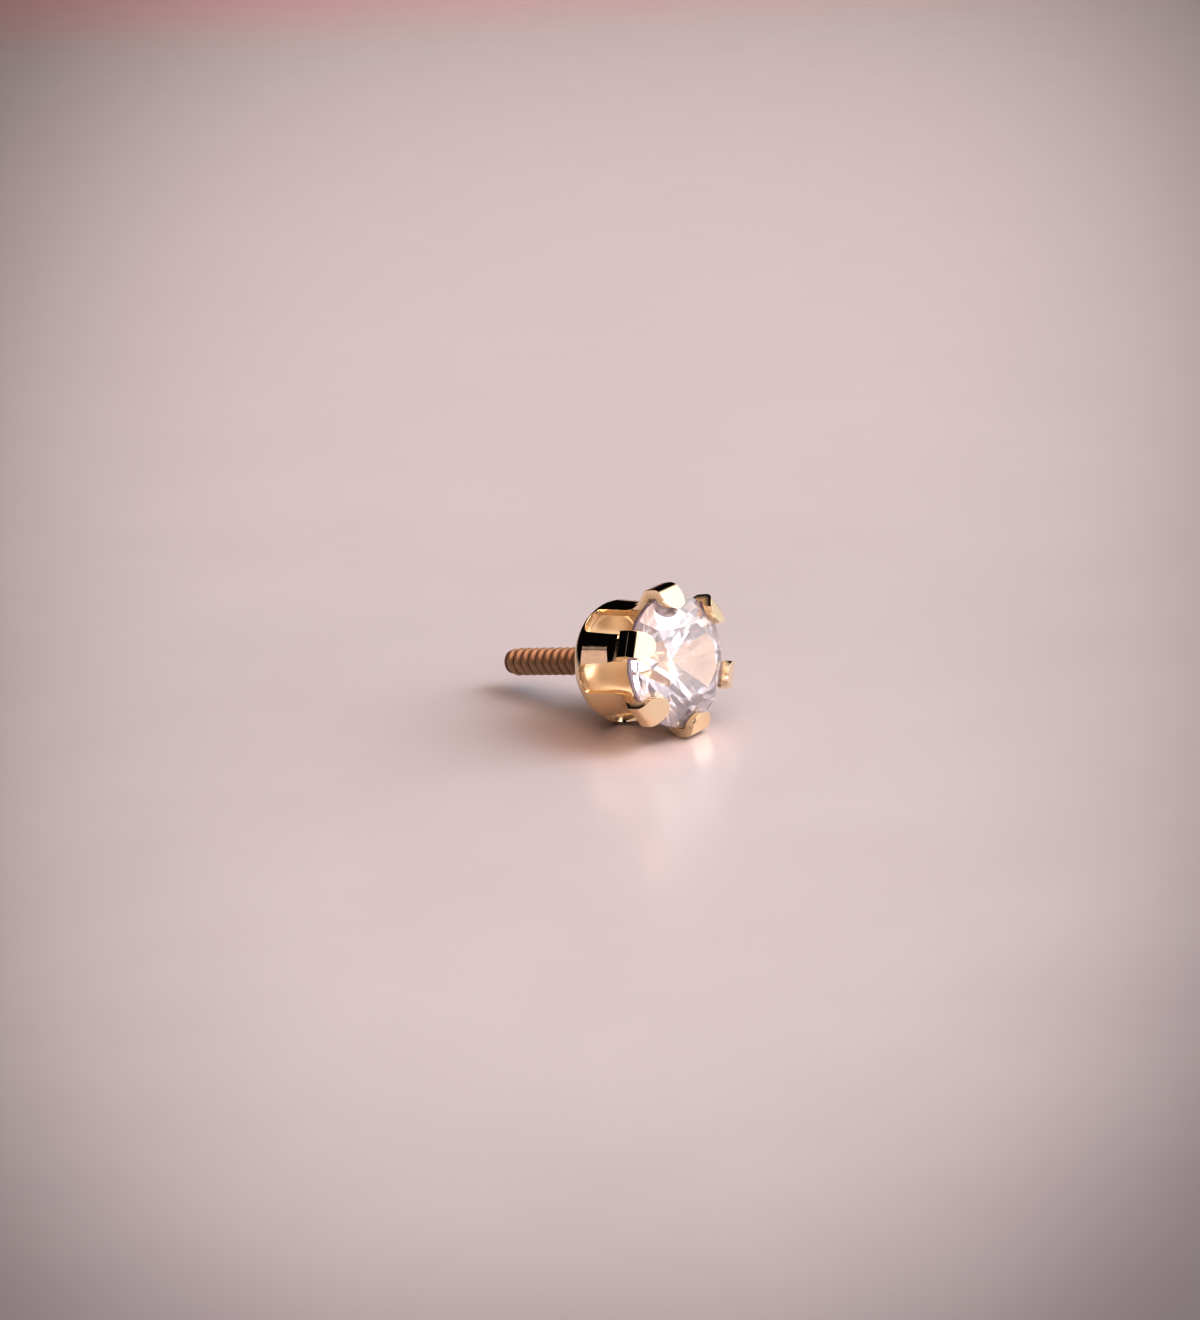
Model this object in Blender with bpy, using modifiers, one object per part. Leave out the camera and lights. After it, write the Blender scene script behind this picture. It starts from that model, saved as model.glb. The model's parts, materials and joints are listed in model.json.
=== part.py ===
"""Stud earring: a round brilliant stone held by a stamped six-prong cup on a threaded post.

The stud is drawn standing on its axis, in millimetres: the stone's table faces +Z, the post
runs down -Z, and z = 0 is the level of the prong tips.  At the end it is laid down as it
rests on a table, on the head of one prong and the shoulder of the bowl behind it.
"""
import math

import bmesh
import bpy
from mathutils import Matrix, Vector

MM = 0.001
WELD = 0.001
FACET_SHARP_ANGLE = 3.0
METAL_SHARP_ANGLE = 35.0

# Stone, a round brilliant
STONE_RADIUS = 2.5
GIRDLE_TOP = -0.70
GIRDLE_THICKNESS = 0.27
TABLE_RATIO = 0.56
CROWN_ANGLE = 33.5
STAR_ANGLE = 21.0
PAVILION_ANGLE = 41.0
LOWER_HALF_RATIO = 0.77
CULET_RADIUS = 0.04
MAIN_FACETS = 8
STONE_TURN = 15.0
GIRDLE_SEGMENTS = 96
MEET_TOLERANCE = 0.004

# Cup, stamped from sheet: six prongs, each widening into the shared bowl
PRONGS = 6
SECTOR = math.tau / PRONGS
# corner radius from the axis, height, fillet radius, fillet steps
OUTER_CORNERS = (
    (0.30, -4.22, 0.0, 0),
    (2.38, -4.22, 0.70, 6),
    (2.21, -2.25, 0.80, 2),
    (2.26, -1.72, 0.50, 3),
    (2.86, -1.10, 0.07, 2),
    (2.90, -0.43, 0.42, 5),
    (2.04, 0.05, 0.0, 0),
)
INNER_CORNERS = (
    (0.30, -3.94, 0.0, 0),
    (2.09, -3.94, 0.42, 6),
    (1.93, -2.25, 0.80, 2),
    (2.07, -1.445, 0.40, 3),
    (2.525, -0.99, 0.02, 2),
    (2.525, -0.67, 0.03, 5),
    (2.04, -0.325, 0.0, 0),
)
WINDOW_ROW = 6
WINDOW_CORNER = 0.30
ROOT_HALF_WIDTH = 0.64
TAB_HALF_WIDTH = 0.50
TAB_END_HALF_WIDTH = 0.07
TAPER_SHARE = 0.5
STRIP_COLUMNS = 6
ROW_SPACING = 0.03
CURVED_BELOW = -1.9
FLAT_ABOVE = -1.2

# Threaded post, soldered to the cup's back
POST_RADIUS = 0.53
THREAD_DEPTH = 0.11
THREAD_PITCH = 0.39
POST_LENGTH = 5.20
POST_CHAMFER = 0.10
PLAIN_NECK = 0.12
THREAD_SUNK = 0.03
THREAD_CREST = 0.10
THREAD_FOOT_SHARE = 0.92
SOLDER_OVERLAP = 0.12
POST_STEPS = 20

# Level where a prong's head begins; what lies below is bowl and post
HEAD_FROM = -1.3


def clear_scene():
    for item in list(bpy.data.objects):
        bpy.data.objects.remove(item, do_unlink=True)


def make_collection(name):
    collection = bpy.data.collections.new(name)
    bpy.context.scene.collection.children.link(collection)
    return collection


def make_object(name, bm, collection, sharp_angle):
    """Turn millimetre geometry into a named object in metres."""
    bmesh.ops.scale(bm, vec=(MM, MM, MM), verts=bm.verts)
    bmesh.ops.recalc_face_normals(bm, faces=bm.faces)
    mesh = bpy.data.meshes.new(name)
    bm.to_mesh(mesh)
    bm.free()
    mesh.shade_smooth()
    mesh.set_sharp_from_angle(angle=math.radians(sharp_angle))
    item = bpy.data.objects.new(name, mesh)
    collection.objects.link(item)
    return item


def make_material(name, colour, roughness, metallic):
    material = bpy.data.materials.new(name)
    material.use_nodes = True
    shader = material.node_tree.nodes["Principled BSDF"]
    shader.inputs["Base Color"].default_value = (*colour, 1.0)
    shader.inputs["Roughness"].default_value = roughness
    shader.inputs["Metallic"].default_value = metallic
    return material


def gold_material():
    return make_material("pale_rose_gold", (0.88, 0.62, 0.42), 0.08, 1.0)


def stone_material():
    material = make_material("clear_stone", (0.97, 0.95, 0.97), 0.0, 0.0)
    shader = material.node_tree.nodes["Principled BSDF"]
    shader.inputs["Transmission Weight"].default_value = 1.0
    shader.inputs["IOR"].default_value = 2.16
    return material


def around(radius, degrees, height):
    angle = math.radians(degrees)
    return Vector((radius * math.cos(angle), radius * math.sin(angle), height))


def grind_facet(bm, point, normal):
    """Grind away all that lies outside a plane and polish the cut as one face."""
    geometry = bm.verts[:] + bm.edges[:] + bm.faces[:]
    cut = bmesh.ops.bisect_plane(
        bm, geom=geometry, dist=MEET_TOLERANCE / 4, plane_co=point, plane_no=normal, clear_outer=True
    )
    rim = [item for item in cut["geom_cut"] if isinstance(item, bmesh.types.BMEdge)]
    rim = [edge for edge in rim if edge.is_boundary]
    if len(rim) > 2:
        bmesh.ops.edgeloop_fill(bm, edges=rim)


def grind_through(bm, first, second, third):
    """Grind the facet through three meet points, facing away from the stone's middle."""
    normal = (second - first).cross(third - first).normalized()
    middle = Vector((0.0, 0.0, GIRDLE_TOP - GIRDLE_THICKNESS))
    if normal.dot(first - middle) < 0.0:
        normal.negate()
    grind_facet(bm, first, normal)


def grind_crown(bm):
    slope = math.tan(math.radians(CROWN_ANGLE))
    table_radius = STONE_RADIUS * TABLE_RATIO
    table_height = GIRDLE_TOP + (STONE_RADIUS - table_radius) * slope
    half_step = 180.0 / MAIN_FACETS
    flat = math.cos(math.radians(half_step))
    # star facets leave the table's sides and meet the main facets where two of those meet
    star_slope = math.tan(math.radians(STAR_ANGLE))
    rise = STONE_RADIUS * slope + GIRDLE_TOP - table_height - table_radius * flat * star_slope
    meet_radius = rise / (flat * slope - star_slope)
    meet_height = GIRDLE_TOP + (STONE_RADIUS - meet_radius * flat) * slope
    for index in range(MAIN_FACETS):
        main = STONE_TURN + 2 * half_step * index
        tip = around(STONE_RADIUS, main, GIRDLE_TOP)
        outward = around(math.sin(math.radians(CROWN_ANGLE)), main, 0.0)
        grind_facet(bm, tip, outward + Vector((0.0, 0.0, math.cos(math.radians(CROWN_ANGLE)))))
    for index in range(MAIN_FACETS):
        main = STONE_TURN + 2 * half_step * index
        meet = around(meet_radius, main + half_step, meet_height)
        far_meet = around(meet_radius, main - half_step, meet_height)
        tip = around(STONE_RADIUS, main, GIRDLE_TOP)
        grind_through(bm, tip, around(STONE_RADIUS, main + half_step, GIRDLE_TOP), meet)
        grind_through(bm, tip, around(STONE_RADIUS, main - half_step, GIRDLE_TOP), far_meet)
        near = around(table_radius, main, table_height)
        far = around(table_radius, main + 2 * half_step, table_height)
        grind_through(bm, near, far, meet)
    grind_facet(bm, Vector((0.0, 0.0, table_height)), Vector((0.0, 0.0, 1.0)))


def grind_pavilion(bm):
    slope = math.tan(math.radians(PAVILION_ANGLE))
    girdle_bottom = GIRDLE_TOP - GIRDLE_THICKNESS
    half_step = 180.0 / MAIN_FACETS
    flat = math.cos(math.radians(half_step))
    meet_radius = STONE_RADIUS * (1.0 - LOWER_HALF_RATIO)
    meet_height = girdle_bottom - (STONE_RADIUS - meet_radius * flat) * slope
    for index in range(MAIN_FACETS):
        main = STONE_TURN + 2 * half_step * index
        tip = around(STONE_RADIUS, main, girdle_bottom)
        outward = around(math.sin(math.radians(PAVILION_ANGLE)), main, 0.0)
        grind_facet(bm, tip, outward - Vector((0.0, 0.0, math.cos(math.radians(PAVILION_ANGLE)))))
    for index in range(MAIN_FACETS):
        main = STONE_TURN + 2 * half_step * index
        tip = around(STONE_RADIUS, main, girdle_bottom)
        for side in (half_step, -half_step):
            meet = around(meet_radius, main + side, meet_height)
            grind_through(bm, tip, around(STONE_RADIUS, main + side, girdle_bottom), meet)
    culet_height = girdle_bottom - (STONE_RADIUS - CULET_RADIUS) * slope
    grind_facet(bm, Vector((0.0, 0.0, culet_height)), Vector((0.0, 0.0, -1.0)))


def build_stone(collection):
    """Cut the stone from a round blank, one flat facet after another."""
    bm = bmesh.new()
    bmesh.ops.create_cone(
        bm,
        cap_ends=True,
        segments=GIRDLE_SEGMENTS,
        radius1=STONE_RADIUS,
        radius2=STONE_RADIUS,
        depth=4 * STONE_RADIUS,
        matrix=Matrix.Translation((0.0, 0.0, GIRDLE_TOP)),
    )
    grind_crown(bm)
    grind_pavilion(bm)
    bmesh.ops.remove_doubles(bm, verts=bm.verts, dist=MEET_TOLERANCE)
    bmesh.ops.dissolve_degenerate(bm, edges=bm.edges, dist=MEET_TOLERANCE / 4)
    stone = make_object("stone", bm, collection, FACET_SHARP_ANGLE)
    stone.data.materials.append(stone_material())
    return stone


def rounded_outline(corners):
    """Points along an outline whose corners carry round fillets."""
    points = [Vector(corners[0][:2])]
    for before, corner, after in zip(corners, corners[1:], corners[2:]):
        here = Vector(corner[:2])
        radius, steps = corner[2:]
        if steps == 0:
            points.append(here)
            continue
        back = (Vector(before[:2]) - here).normalized()
        ahead = (Vector(after[:2]) - here).normalized()
        half = back.angle(ahead) / 2
        centre = here + (back + ahead).normalized() * radius / math.sin(half)
        start = here + back * radius / math.tan(half) - centre
        end = here + ahead * radius / math.tan(half) - centre
        turn = math.atan2(start.x * end.y - start.y * end.x, start.dot(end))
        for step in range(steps + 1):
            points.append(centre + Matrix.Rotation(turn * step / steps, 2) @ start)
    points.append(Vector(corners[-1][:2]))
    return points


def distances_along(points):
    total = 0.0
    result = [total]
    for start, end in zip(points, points[1:]):
        total += (end - start).length
        result.append(total)
    return result


def point_at(points, distances, distance):
    """Point of an outline that belongs to a distance along the outer one."""
    index = 1
    while distance > distances[index] and index < len(distances) - 1:
        index += 1
    span = distances[index] - distances[index - 1]
    return points[index - 1].lerp(points[index], (distance - distances[index - 1]) / span)


def strip_stations():
    """Rows along a prong from the bowl's middle to its tip: distance, outer and inner point."""
    outer = rounded_outline(OUTER_CORNERS)
    inner = rounded_outline(INNER_CORNERS)
    distances = distances_along(outer)
    window = distances[WINDOW_ROW]
    length = distances[-1]
    rows = set(distances)
    for degrees in (30.0, 60.0, 90.0):
        rows.add(window + WINDOW_CORNER * (1.0 - math.cos(math.radians(degrees))))
    for degrees in (0.0, 22.5, 45.0, 67.5):
        rows.add(length - TAB_HALF_WIDTH * (1.0 - math.sin(math.radians(degrees))))
    stations = []
    for distance in sorted(rows):
        # two rows closer than this would make slivers
        if stations and distance - stations[-1][0] < ROW_SPACING and distance not in distances:
            continue
        outside = point_at(outer, distances, distance)
        inside = point_at(inner, distances, distance)
        stations.append((distance, outside, inside))
    return stations, window, length


def half_width(distance, window, length):
    """Half the width of the prong strip at a distance along it."""
    from_tip = length - distance
    if from_tip < TAB_HALF_WIDTH:
        reach = TAB_HALF_WIDTH - from_tip
        return max(TAB_END_HALF_WIDTH, math.sqrt(TAB_HALF_WIDTH**2 - reach**2))
    share = min(1.0, (distance - window) / (TAPER_SHARE * (length - window)))
    width = ROOT_HALF_WIDTH + (TAB_HALF_WIDTH - ROOT_HALF_WIDTH) * share
    into_corner = WINDOW_CORNER - (distance - window)
    if into_corner > 0.0:
        width += WINDOW_CORNER - math.sqrt(max(0.0, WINDOW_CORNER**2 - into_corner**2))
    return width


def row_angles(reach, in_bowl):
    """Angles of a row's points: the strip's columns, and in the bowl the sector's two sides."""
    angles = [reach * (2 * step / STRIP_COLUMNS - 1) for step in range(STRIP_COLUMNS + 1)]
    if in_bowl:
        angles = [-SECTOR / 2] + angles + [SECTOR / 2]
    return angles


def row_points(point, angles, flatness):
    """Points across a prong: on a circle where it is curved, on a line where it is flat."""
    result = []
    for angle in angles:
        curved = Vector((point.x * math.cos(angle), point.x * math.sin(angle), point.y))
        level = Vector((point.x, point.x * math.sin(angle), point.y))
        result.append(curved.lerp(level, flatness))
    return result


def skin_rows(bm, lower, upper):
    for column in range(len(upper) - 1):
        bm.faces.new((lower[column], lower[column + 1], upper[column + 1], upper[column]))


def add_prong(bm, turn):
    """One sixth of the cup: a sector of the bowl that narrows into a bent prong."""
    stations, window, length = strip_stations()
    rotation = Matrix.Rotation(turn, 3, "Z")
    root_angle = math.asin(half_width(window, window, length) / stations[WINDOW_ROW][1].x)
    outer_rows = []
    inner_rows = []
    for index, (distance, outside, inside) in enumerate(stations):
        reach = root_angle
        if index > WINDOW_ROW:
            reach = math.asin(half_width(distance, window, length) / outside.x)
        angles = row_angles(reach, index <= WINDOW_ROW)
        flatness = (outside.y - CURVED_BELOW) / (FLAT_ABOVE - CURVED_BELOW)
        flatness = min(1.0, max(0.0, flatness))
        outer_points = row_points(outside, angles, flatness)
        inner_points = row_points(inside, angles, flatness)
        # where the strip is flat its cut edges stand square, so both skins are as wide
        for outer_point, inner_point in zip(outer_points, inner_points):
            inner_point.y += (outer_point.y - inner_point.y) * flatness
        outer_rows.append([bm.verts.new(rotation @ point) for point in outer_points])
        inner_rows.append([bm.verts.new(rotation @ point) for point in inner_points])
    for index in range(WINDOW_ROW):
        skin_rows(bm, outer_rows[index], outer_rows[index + 1])
        skin_rows(bm, inner_rows[index], inner_rows[index + 1])
    # the sector's sides end at the window's lower edge, the strip goes on
    outer_edge = outer_rows[WINDOW_ROW]
    inner_edge = inner_rows[WINDOW_ROW]
    skin_rows(bm, outer_edge[:2], inner_edge[:2])
    skin_rows(bm, outer_edge[-2:], inner_edge[-2:])
    outer_strip = [outer_edge[1:-1]] + outer_rows[WINDOW_ROW + 1:]
    inner_strip = [inner_edge[1:-1]] + inner_rows[WINDOW_ROW + 1:]
    for index in range(len(outer_strip) - 1):
        skin_rows(bm, outer_strip[index], outer_strip[index + 1])
        skin_rows(bm, inner_strip[index], inner_strip[index + 1])
    for edge in (0, -1):
        outer_side = [row[edge] for row in outer_strip]
        inner_side = [row[edge] for row in inner_strip]
        skin_rows(bm, outer_side, inner_side)
    skin_rows(bm, outer_strip[-1], inner_strip[-1])


def build_cup(collection):
    bm = bmesh.new()
    for index in range(PRONGS):
        add_prong(bm, index * SECTOR)
    bmesh.ops.remove_doubles(bm, verts=bm.verts, dist=WELD)
    bmesh.ops.holes_fill(bm, edges=bm.edges, sides=0)
    return make_object("setting", bm, collection, METAL_SHARP_ANGLE)


def build_post_core(collection):
    """The plain core of the post: a turned pin with a chamfered end."""
    back = OUTER_CORNERS[0][1]
    root = POST_RADIUS - THREAD_DEPTH
    end = back - POST_LENGTH
    profile = (
        (0.0, back + SOLDER_OVERLAP),
        (root, back + SOLDER_OVERLAP),
        (root, end + POST_CHAMFER),
        (root - POST_CHAMFER, end),
        (0.0, end),
    )
    bm = bmesh.new()
    verts = [bm.verts.new((radius, 0.0, height)) for radius, height in profile]
    for pair in zip(verts, verts[1:]):
        bm.edges.new(pair)
    core = make_object("post_core", bm, collection, METAL_SHARP_ANGLE)
    turned = core.modifiers.new("turned", "SCREW")
    turned.angle = math.tau
    turned.steps = POST_STEPS
    turned.render_steps = POST_STEPS
    turned.use_merge_vertices = True
    turned.merge_threshold = WELD * MM
    return core


def thread_section():
    """Cut through the thread's ridge: radius and height, its foot sunk into the core."""
    root = POST_RADIUS - THREAD_DEPTH - THREAD_SUNK
    foot = THREAD_PITCH * THREAD_FOOT_SHARE / 2
    crest = THREAD_CREST / 2
    return ((root, -foot), (root, foot), (POST_RADIUS, crest), (POST_RADIUS, -crest))


def build_thread(collection):
    """The raised thread: its section carried down the post along a helix."""
    section = thread_section()
    top = OUTER_CORNERS[0][1] - PLAIN_NECK - THREAD_PITCH / 2
    turns = (POST_LENGTH - PLAIN_NECK - POST_CHAMFER) / THREAD_PITCH - 1
    bm = bmesh.new()
    rings = []
    for step in range(round(turns * POST_STEPS) + 1):
        # right-handed: it turns backwards as it goes down; half a step off the core's corners
        angle = -math.tau * (step + 0.5) / POST_STEPS
        height = top - THREAD_PITCH * step / POST_STEPS
        ring = []
        for radius, offset in section:
            point = (radius * math.cos(angle), radius * math.sin(angle), height + offset)
            ring.append(bm.verts.new(point))
        rings.append(ring)
    for upper, lower in zip(rings, rings[1:]):
        skin_rows(bm, upper + upper[:1], lower + lower[:1])
    bm.faces.new(rings[0])
    bm.faces.new(rings[-1])
    return make_object("post_thread", bm, collection, METAL_SHARP_ANGLE)


def join_solid(target, cutter):
    """Solder one solid to another: a Boolean union that stays on the object."""
    cutter.hide_render = True
    cutter.display_type = "WIRE"
    union = target.modifiers.new("solder_" + cutter.name, "BOOLEAN")
    union.operation = "UNION"
    union.solver = "EXACT"
    union.object = cutter


def build_setting(collection, cutters):
    setting = build_cup(collection)
    setting.data.materials.append(gold_material())
    core = build_post_core(cutters)
    thread = build_thread(cutters)
    join_solid(setting, core)
    join_solid(setting, thread)
    return setting, [core, thread]


def rest_tilt():
    """Angle of the axis above the table when a prong's head and the shoulder behind it touch."""
    outline = rounded_outline(OUTER_CORNERS)
    head = [point for point in outline if point.y > HEAD_FROM]
    behind = [point for point in outline if point.y < HEAD_FROM]
    behind.append(Vector((POST_RADIUS, OUTER_CORNERS[0][1] - POST_LENGTH)))
    leans = []
    for low in behind:
        leans.append(max(math.atan2(high.x - low.x, high.y - low.y) for high in head))
    return min(leans)


def lay_down(parts, helpers):
    """Lay the stud down with one prong straight below its axis, centred on the origin."""
    rest = bpy.data.objects.new("rest_pose", None)
    bpy.context.scene.collection.objects.link(rest)
    for item in parts + helpers:
        item.parent = rest
    rest.rotation_euler = (0.0, rest_tilt() - math.pi / 2, math.pi)
    bpy.context.view_layer.update()
    graph = bpy.context.evaluated_depsgraph_get()
    corners = []
    for item in parts:
        shape = item.evaluated_get(graph)
        mesh = shape.to_mesh()
        corners += [item.matrix_world @ vertex.co for vertex in mesh.vertices]
        shape.to_mesh_clear()
    low = Vector([min(corner[axis] for corner in corners) for axis in range(3)])
    high = Vector([max(corner[axis] for corner in corners) for axis in range(3)])
    rest.location = (-(low.x + high.x) / 2, -(low.y + high.y) / 2, -low.z)
    bpy.context.view_layer.update()


clear_scene()
parts_collection = make_collection("stud_earring")
cutter_collection = make_collection("cutters")
stone_part = build_stone(parts_collection)
setting_part, helper_parts = build_setting(parts_collection, cutter_collection)
lay_down([stone_part, setting_part], helper_parts)
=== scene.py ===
# %% [markdown]
# # Stud earring
# A round brilliant stone, 5 mm across, sits in a stamped gold cup with six bent prongs.  A
# threaded post is soldered to the cup's back.  The stud lies on a glossy table.
#
# This first cell loads the solid model as a fixed frame.  Every finer piece made below is laid
# over it, so that looks and solid stay the same size.

import json
import math

import bmesh
import bpy
from mathutils import Matrix, Vector


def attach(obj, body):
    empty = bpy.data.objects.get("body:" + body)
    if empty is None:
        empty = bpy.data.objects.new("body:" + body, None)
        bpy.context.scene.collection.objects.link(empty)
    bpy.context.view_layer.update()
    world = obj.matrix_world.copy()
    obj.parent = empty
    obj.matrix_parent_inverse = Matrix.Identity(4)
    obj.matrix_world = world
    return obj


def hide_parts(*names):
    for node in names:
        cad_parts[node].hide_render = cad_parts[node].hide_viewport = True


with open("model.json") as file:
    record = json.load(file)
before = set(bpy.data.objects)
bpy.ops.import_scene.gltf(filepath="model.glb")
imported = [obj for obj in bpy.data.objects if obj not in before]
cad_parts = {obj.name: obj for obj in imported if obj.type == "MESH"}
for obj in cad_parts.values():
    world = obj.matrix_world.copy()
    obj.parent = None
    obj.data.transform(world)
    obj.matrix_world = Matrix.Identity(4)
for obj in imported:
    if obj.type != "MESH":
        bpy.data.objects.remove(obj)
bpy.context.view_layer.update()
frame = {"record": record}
MM = 0.001

# %% [markdown]
# ## Where the stud lies
# It is easiest to model the stud standing on its own axis, in millimetres, with the tips of its
# prongs at height 0.  The frame says where the end of its post came to lie and which way that
# end faces, and those two facts give one matrix.  The matrix lays every finished piece down.

# %% From standing to lying
BACK_HEIGHT = -4.22
POST_LENGTH = 5.20

post_end = next(mount for mount in frame["record"]["mounts"] if mount["name"] == "post_end")
stud_axis = -Vector(post_end["axis"]).normalized()
side_axis = Vector((0.0, -1.0, 0.0))
up_axis = side_axis.cross(stud_axis)
lie_down = Matrix((up_axis, side_axis, stud_axis)).transposed().to_4x4()
tip_centre = Vector(post_end["pos_m"]) + stud_axis * (POST_LENGTH - BACK_HEIGHT) * MM
to_table = Matrix.Translation(tip_centre) @ lie_down @ Matrix.Scale(MM, 4)
print("axis leans", round(math.degrees(math.asin(stud_axis.z)), 2), "degrees above the table")


def around(radius, degrees, height):
    """A point at a radius, an angle and a height, standing."""
    angle = math.radians(degrees)
    return Vector((radius * math.cos(angle), radius * math.sin(angle), height))


def finish_piece(name, bm, node_name):
    """Turn standing millimetre geometry into a lying piece that stands for a solid."""
    bmesh.ops.recalc_face_normals(bm, faces=bm.faces)
    mesh = bpy.data.meshes.new(name)
    bm.to_mesh(mesh)
    bm.free()
    mesh.transform(to_table)
    mesh.shade_smooth()
    piece = bpy.data.objects.new(name, mesh)
    bpy.context.scene.collection.objects.link(piece)
    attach(piece, "root")
    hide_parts(node_name)
    print(name, "has", len(mesh.polygons), "faces")
    return piece


# %% [markdown]
# ## The camera
# The photograph is a close view from 21 degrees above the table, and the stone's axis turns
# away from the lens.  A long lens near 136 mm keeps the stud's shape flat, as a macro lens does.
# The stud stands right of the middle, so the camera aims at a point left of it.

# %% Camera
CAMERA_AZIMUTH = 41.1
CAMERA_ELEVATION = 21.1
CAMERA_ROLL = 3.2
CAMERA_DISTANCE = 185.0
PIXELS_PER_MM = 27.0
PICTURE_HEIGHT = 1320
SENSOR = 36.0
STUD_RIGHT_OF_MIDDLE = 91.6 / PIXELS_PER_MM


def camera_axes(azimuth, elevation, roll):
    """Right, up and backward directions of a camera."""
    turn = math.radians(azimuth)
    rise = math.radians(elevation)
    level = Vector((math.sin(turn), -math.cos(turn), 0.0))
    back = level * math.cos(rise) + Vector((0.0, 0.0, math.sin(rise)))
    right = Vector((math.cos(turn), math.sin(turn), 0.0))
    lean = Matrix.Rotation(-math.radians(roll), 3, back)
    return lean @ right, lean @ back.cross(right), back


right_way, up_way, back_way = camera_axes(CAMERA_AZIMUTH, CAMERA_ELEVATION, CAMERA_ROLL)
camera_data = bpy.data.cameras.new("macro_camera")
camera_data.sensor_width = SENSOR
camera_data.lens = PIXELS_PER_MM * SENSOR * CAMERA_DISTANCE / PICTURE_HEIGHT
camera_data.clip_start = 0.01
camera_data.clip_end = 10.0
camera = bpy.data.objects.new("macro_camera", camera_data)
camera.location = tip_centre + back_way * CAMERA_DISTANCE * MM
aim = tip_centre - right_way * STUD_RIGHT_OF_MIDDLE * MM
look_back = (camera.location - aim).normalized()
look_right = up_way.cross(look_back).normalized()
look_up = look_back.cross(look_right)
camera.rotation_euler = Matrix((look_right, look_up, look_back)).transposed().to_euler()
bpy.context.scene.collection.objects.link(camera)
bpy.context.scene.camera = camera
print("lens", round(camera_data.lens, 1), "mm")

# %% [markdown]
# ## The cup: one sixth at a time
# The real cup is a flower of gold sheet, 0.28 mm thick, pressed into a bowl whose six petals are
# the prongs.  A prong runs up the side, flares out to clear the stone's edge, stands along the
# edge, and folds over the top as a tab with a round end.
#
# A modifier like Solidify would bend such a sheet badly at its folds.  So two outlines give the
# sheet's outer and inner side, and rows of points walk along both together.

# %% Outlines of the sheet
# corner radius from the axis, height, fillet radius, fillet steps
OUTER_CORNERS = (
    (0.30, -4.22, 0.0, 0),
    (1.00, -4.22, 0.0, 0),
    (2.38, -4.22, 0.70, 6),
    (2.21, -2.25, 0.80, 2),
    (2.26, -1.72, 0.50, 3),
    (2.86, -1.10, 0.07, 2),
    (2.90, -0.43, 0.42, 5),
    (2.04, 0.05, 0.0, 0),
)
INNER_CORNERS = (
    (0.30, -3.94, 0.0, 0),
    (0.90, -3.94, 0.0, 0),
    (2.09, -3.94, 0.42, 6),
    (1.93, -2.25, 0.80, 2),
    (2.07, -1.445, 0.40, 3),
    (2.525, -0.99, 0.02, 2),
    (2.525, -0.67, 0.03, 5),
    (2.04, -0.325, 0.0, 0),
)


def rounded_outline(corners):
    """Points along an outline whose corners carry round fillets."""
    points = [Vector(corners[0][:2])]
    for before, corner, after in zip(corners, corners[1:], corners[2:]):
        here = Vector(corner[:2])
        radius, steps = corner[2:]
        if steps == 0:
            points.append(here)
            continue
        back = (Vector(before[:2]) - here).normalized()
        ahead = (Vector(after[:2]) - here).normalized()
        half = back.angle(ahead) / 2
        centre = here + (back + ahead).normalized() * radius / math.sin(half)
        start = here + back * radius / math.tan(half) - centre
        end = here + ahead * radius / math.tan(half) - centre
        turn = math.atan2(start.x * end.y - start.y * end.x, start.dot(end))
        for step in range(steps + 1):
            points.append(centre + Matrix.Rotation(turn * step / steps, 2) @ start)
    points.append(Vector(corners[-1][:2]))
    return points


def distances_along(points):
    """How far along an outline each of its points lies."""
    total = 0.0
    result = [total]
    for start, end in zip(points, points[1:]):
        total += (end - start).length
        result.append(total)
    return result


def point_at(points, distances, distance):
    """Point of an outline that belongs to a distance along the outer one."""
    index = 1
    while distance > distances[index] and index < len(distances) - 1:
        index += 1
    span = distances[index] - distances[index - 1]
    return points[index - 1].lerp(points[index], (distance - distances[index - 1]) / span)


outer_outline = rounded_outline(OUTER_CORNERS)
inner_outline = rounded_outline(INNER_CORNERS)
outer_distances = distances_along(outer_outline)
strip_length = outer_distances[-1]
to_tip = OUTER_CORNERS[0][0] + strip_length
print("a prong's outer skin runs", round(to_tip, 2), "mm from the bowl's middle to its tip")

# %% [markdown]
# The windows between the prongs are U-shaped cuts with rounded corners.  They begin on the
# bowl's shoulder.  Where the window opens, a prong's width follows the corner's arc, then it
# narrows slowly, and at the tip it follows a half circle.

# %% Width of a prong
PRONGS = 6
SECTOR = math.tau / PRONGS
WINDOW_ROW = 7
WINDOW_CORNER = 0.30
ROOT_HALF_WIDTH = 0.64
TAB_HALF_WIDTH = 0.50
TAB_END_HALF_WIDTH = 0.07
TAPER_SHARE = 0.5
ROW_SPACING = 0.025

window_distance = outer_distances[WINDOW_ROW]


def half_width(distance):
    """Half the width of the prong at a distance along it."""
    from_tip = strip_length - distance
    if from_tip < TAB_HALF_WIDTH:
        reach = TAB_HALF_WIDTH - from_tip
        return max(TAB_END_HALF_WIDTH, math.sqrt(TAB_HALF_WIDTH**2 - reach**2))
    taper_length = TAPER_SHARE * (strip_length - window_distance)
    share = min(1.0, (distance - window_distance) / taper_length)
    width = ROOT_HALF_WIDTH + (TAB_HALF_WIDTH - ROOT_HALF_WIDTH) * share
    into_corner = WINDOW_CORNER - (distance - window_distance)
    if into_corner > 0.0:
        width += WINDOW_CORNER - math.sqrt(max(0.0, WINDOW_CORNER**2 - into_corner**2))
    return width


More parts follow.
